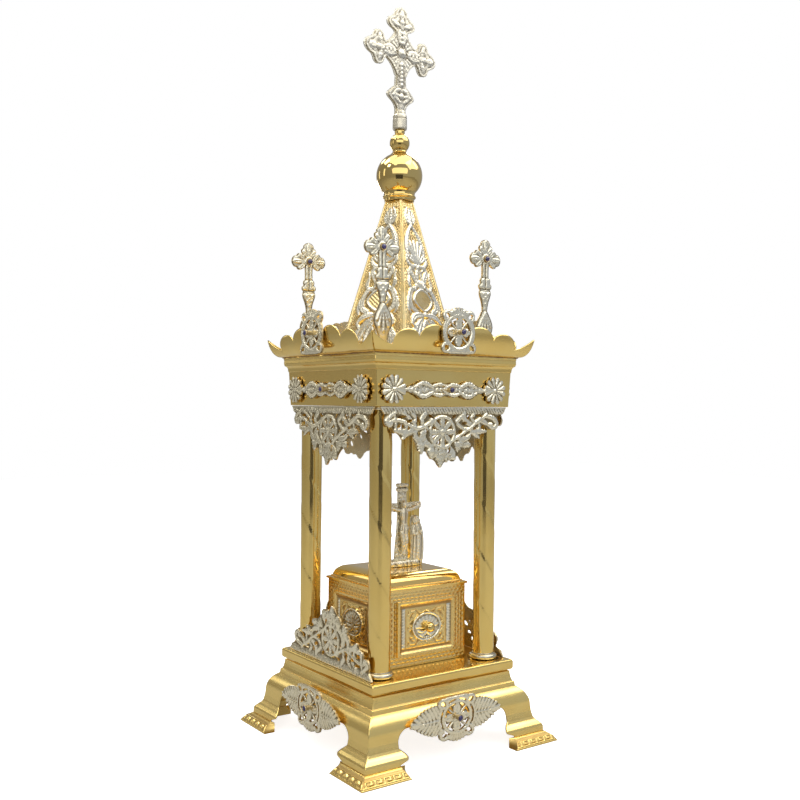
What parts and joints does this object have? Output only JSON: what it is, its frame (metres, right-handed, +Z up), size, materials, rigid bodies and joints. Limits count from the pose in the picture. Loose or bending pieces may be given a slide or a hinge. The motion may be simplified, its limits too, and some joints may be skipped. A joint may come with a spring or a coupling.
{
  "type": "altar tabernacle",
  "caption": "Gilded chapel-shaped altar tabernacle: columns and canopy with silver castings over a casket with drawer and crucifix.",
  "frame": {"origin": "on the ground, midway between the four feet", "axes": "+Z up; the front, where the drawer pulls out, faces -Y; +X to the viewer's right"},
  "size_m": [0.2046, 0.2046, 0.65],
  "materials": {
    "polished_gilt_brass": "polished gilt brass",
    "chased_gilt_brass": "chased gilt brass, slightly orange",
    "cast_silver": "silver-plated castings, aged in the recesses"
  },
  "bodies": {
    "shrine": {"apron_medallion_back": "cast_silver", "apron_medallion_front": "cast_silver", "apron_medallion_left": "cast_silver", "apron_medallion_right": "cast_silver", "base_plate": "polished_gilt_brass", "base_ring_back_left": "cast_silver", "base_ring_back_right": "cast_silver", "base_ring_front_left": "cast_silver", "base_ring_front_right": "cast_silver", "canopy": "polished_gilt_brass", "casket": "chased_gilt_brass", "casket_lid": "chased_gilt_brass", "casket_medal_back": "cast_silver", "casket_medal_left": "cast_silver", "casket_medal_right": "cast_silver", "column_back_left": "polished_gilt_brass", "column_back_right": "polished_gilt_brass", "column_front_left": "polished_gilt_brass", "column_front_right": "polished_gilt_brass", "corner_cross_back_left": "cast_silver", "corner_cross_back_right": "cast_silver", "corner_cross_front_left": "cast_silver", "corner_cross_front_right": "cast_silver", "crest_back": "cast_silver", "crest_left": "cast_silver", "crest_right": "cast_silver", "crucifix_group": "cast_silver", "finial": "polished_gilt_brass", "foot_back_left": "chased_gilt_brass", "foot_back_right": "chased_gilt_brass", "foot_front_left": "chased_gilt_brass", "foot_front_right": "chased_gilt_brass", "frieze_ornament_back": "cast_silver", "frieze_ornament_front": "cast_silver", "frieze_ornament_left": "cast_silver", "frieze_ornament_right": "cast_silver", "parapet": "polished_gilt_brass", "parapet_medallion_back": "cast_silver", "parapet_medallion_front": "cast_silver", "parapet_medallion_left": "cast_silver", "parapet_medallion_right": "cast_silver", "podium": "polished_gilt_brass", "spire": "chased_gilt_brass", "top_collar_back_left": "cast_silver", "top_collar_back_right": "cast_silver", "top_collar_front_left": "cast_silver", "top_collar_front_right": "cast_silver", "top_cross": "cast_silver", "valance_back": "cast_silver", "valance_front": "cast_silver", "valance_left": "cast_silver", "valance_right": "cast_silver"},
    "drawer": {"drawer": "chased_gilt_brass", "drawer_medal": "cast_silver", "drawer_knob": "chased_gilt_brass"}
  },
  "joints": [
    {"name": "drawer_slide", "type": "slide", "parent": "shrine", "child": "drawer", "axis": [0, -1, 0], "range_m": [0, 0.06]}
  ]
}
